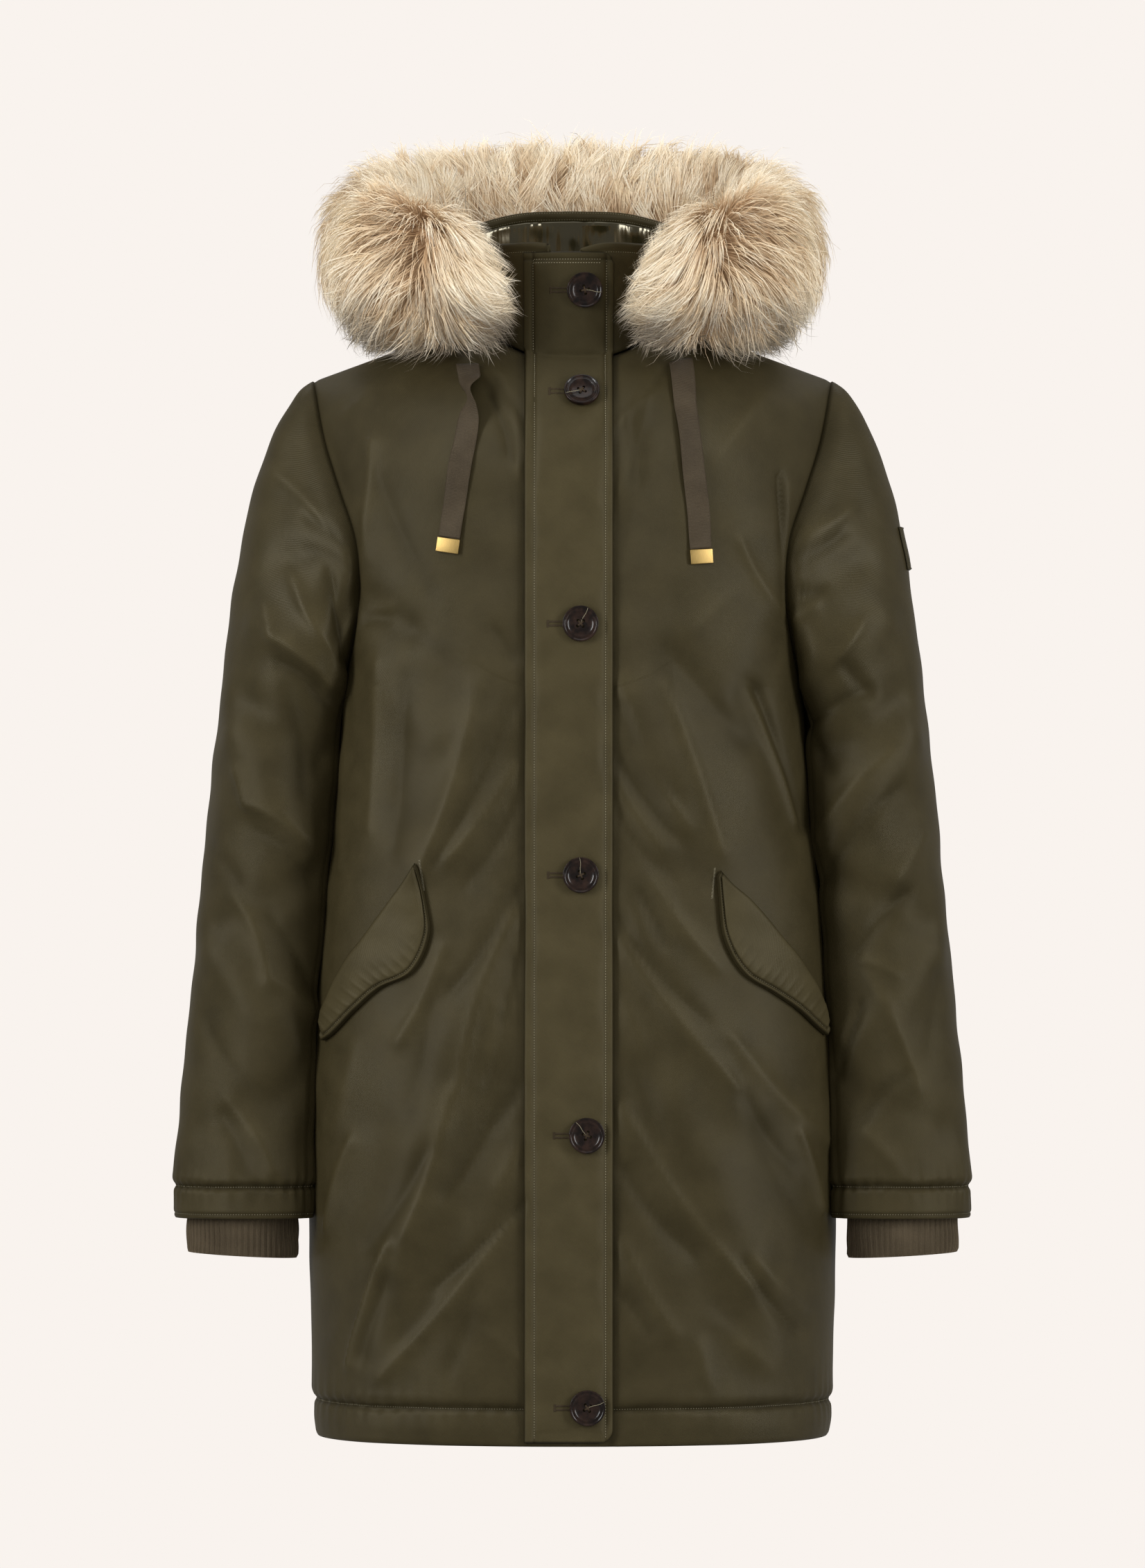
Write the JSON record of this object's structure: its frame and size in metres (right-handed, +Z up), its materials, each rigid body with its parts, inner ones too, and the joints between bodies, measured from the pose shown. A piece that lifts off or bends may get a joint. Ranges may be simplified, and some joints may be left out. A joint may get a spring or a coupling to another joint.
{
  "type": "fur trimmed parka",
  "caption": "Hip-length padded parka in olive, worn form, hollow, with a hood that lies back, fur trim, storm placket, ribbed cuffs, flap pockets and drawstring ribbons.",
  "frame": {"origin": "midway between the two high shoulder points, where the wearer's neck and shoulders hold the coat up", "axes": "+Z up along the coat's length, the front faces -Y, +X towards the wearer's left sleeve"},
  "size_m": [0.63, 0.4803, 1.0468],
  "materials": {
    "shell": "olive padded shell cloth with a satin sheen",
    "lining": "glossy quilted lining",
    "rib_knit": "matt rib knit",
    "fur": "long cream and tan pile",
    "ribbon": "taupe grosgrain ribbon",
    "brass": "brushed brass",
    "horn": "dark mottled horn look"
  },
  "bodies": {
    "root": {"front_left": "shell", "front_right": "shell", "back": "shell", "sleeve_upper_left": "shell", "sleeve_upper_right": "shell", "sleeve_under_left": "shell", "sleeve_under_right": "shell", "collar": "shell", "hood_side_left": "shell", "hood_centre": "shell", "hood_side_right": "shell", "hood_facing": "shell", "placket": "shell", "pocket_flap_left": "shell", "pocket_flap_right": "shell", "sleeve_badge": "shell", "hood_lining": "lining", "rib_cuff_left": "rib_knit", "rib_cuff_right": "rib_knit", "fur_trim": "fur", "ribbon_left": "ribbon", "ribbon_right": "ribbon", "ribbon_tip_left": "brass", "ribbon_tip_right": "brass", "button_1": "horn", "button_2": "horn", "button_3": "horn", "button_4": "horn", "button_5": "horn", "button_6": "horn"}
  },
  "joints": []
}
